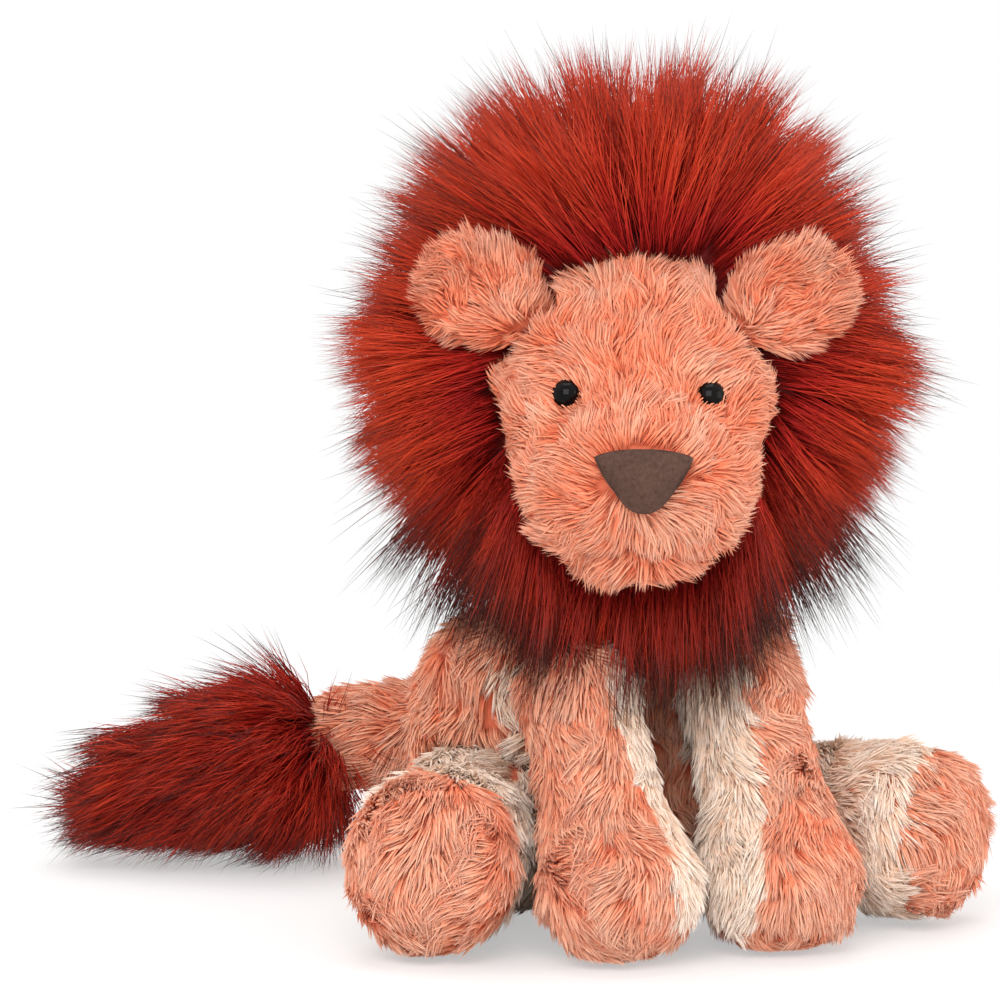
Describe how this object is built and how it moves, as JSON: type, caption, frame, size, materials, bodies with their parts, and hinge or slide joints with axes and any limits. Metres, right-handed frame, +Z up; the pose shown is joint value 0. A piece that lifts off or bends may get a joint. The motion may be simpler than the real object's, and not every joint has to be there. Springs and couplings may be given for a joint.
{
  "type": "plush lion",
  "caption": "Seated plush lion with a long-pile mane and tail tuft, a turning head, folding ears, swinging front legs, lifting hind legs and a swinging tail.",
  "frame": {"origin": "on the flat of the seat, under the middle of the torso, on the plane that the lion sits on", "axes": "+Z up, -Y the way the lion faces, +X the lion's left"},
  "size_m": [0.2291, 0.2163, 0.2406],
  "materials": {
    "coral_plush": "matte",
    "cream_plush": "matte",
    "red_long_pile": "matte",
    "white_fibre": "matte",
    "brown_twill": "matte",
    "black_plastic": "gloss",
    "clear_plastic": "satin"
  },
  "bodies": {
    "torso": {"torso_cover": "coral_plush", "torso_filling": "white_fibre"},
    "head": {"head_cover": "coral_plush", "head_filling": "white_fibre", "mane": "red_long_pile", "nose_patch": "brown_twill", "eye_left": "black_plastic", "eye_right": "black_plastic", "eye_washer_left": "clear_plastic", "eye_washer_right": "clear_plastic"},
    "ear_left": {"ear_left": "coral_plush"},
    "ear_right": {"ear_right": "coral_plush"},
    "front_leg_left": {"front_leg_left_cover": "coral_plush", "front_leg_left_inner_panel": "cream_plush", "front_leg_left_filling": "white_fibre"},
    "front_leg_right": {"front_leg_right_cover": "coral_plush", "front_leg_right_inner_panel": "cream_plush", "front_leg_right_filling": "white_fibre"},
    "hind_leg_left": {"hind_leg_left_cover": "cream_plush", "hind_leg_left_foot": "coral_plush", "hind_leg_left_filling": "white_fibre"},
    "hind_leg_right": {"hind_leg_right_cover": "cream_plush", "hind_leg_right_foot": "coral_plush", "hind_leg_right_filling": "white_fibre"},
    "tail": {"tail_cover": "coral_plush", "tail_filling": "white_fibre", "tail_tuft": "red_long_pile"}
  },
  "joints": [
    {"name": "head_turn", "type": "hinge", "parent": "torso", "child": "head", "pos_m": [0, -0.022, 0.098], "axis": [0, 0, 1], "range_deg": [-20, 45], "stiffness_Nm_per_rad": 0.3},
    {"name": "ear_left_fold", "type": "hinge", "parent": "head", "child": "ear_left", "pos_m": [0.02668, -0.04686, 0.16826], "axis": [0.5755, -0.176, -0.7986], "range_deg": [0, 35], "stiffness_Nm_per_rad": 0.01},
    {"name": "ear_right_fold", "type": "hinge", "parent": "head", "child": "ear_right", "pos_m": [-0.03165, -0.02903, 0.16933], "axis": [0.6018, -0.184, 0.7771], "range_deg": [0, 35], "stiffness_Nm_per_rad": 0.01},
    {"name": "front_leg_left_swing", "type": "hinge", "parent": "torso", "child": "front_leg_left", "pos_m": [0.024, -0.052, 0.067], "axis": [1, 0, 0], "range_deg": [-40, 2.5], "stiffness_Nm_per_rad": 0.12},
    {"name": "front_leg_right_swing", "type": "hinge", "parent": "torso", "child": "front_leg_right", "pos_m": [-0.024, -0.052, 0.067], "axis": [1, 0, 0], "range_deg": [-40, 2.5], "stiffness_Nm_per_rad": 0.12},
    {"name": "hind_leg_left_lift", "type": "hinge", "parent": "torso", "child": "hind_leg_left", "pos_m": [0.042, -0.02, 0.027], "axis": [1, 0, 0], "range_deg": [-7, 5], "stiffness_Nm_per_rad": 0.12},
    {"name": "hind_leg_right_lift", "type": "hinge", "parent": "torso", "child": "hind_leg_right", "pos_m": [-0.042, -0.02, 0.027], "axis": [1, 0, 0], "range_deg": [-7, 5], "stiffness_Nm_per_rad": 0.12},
    {"name": "tail_swing", "type": "hinge", "parent": "torso", "child": "tail", "pos_m": [0, 0.028, 0.035], "axis": [0, 0, 1], "range_deg": [-30, 6], "stiffness_Nm_per_rad": 0.1}
  ]
}
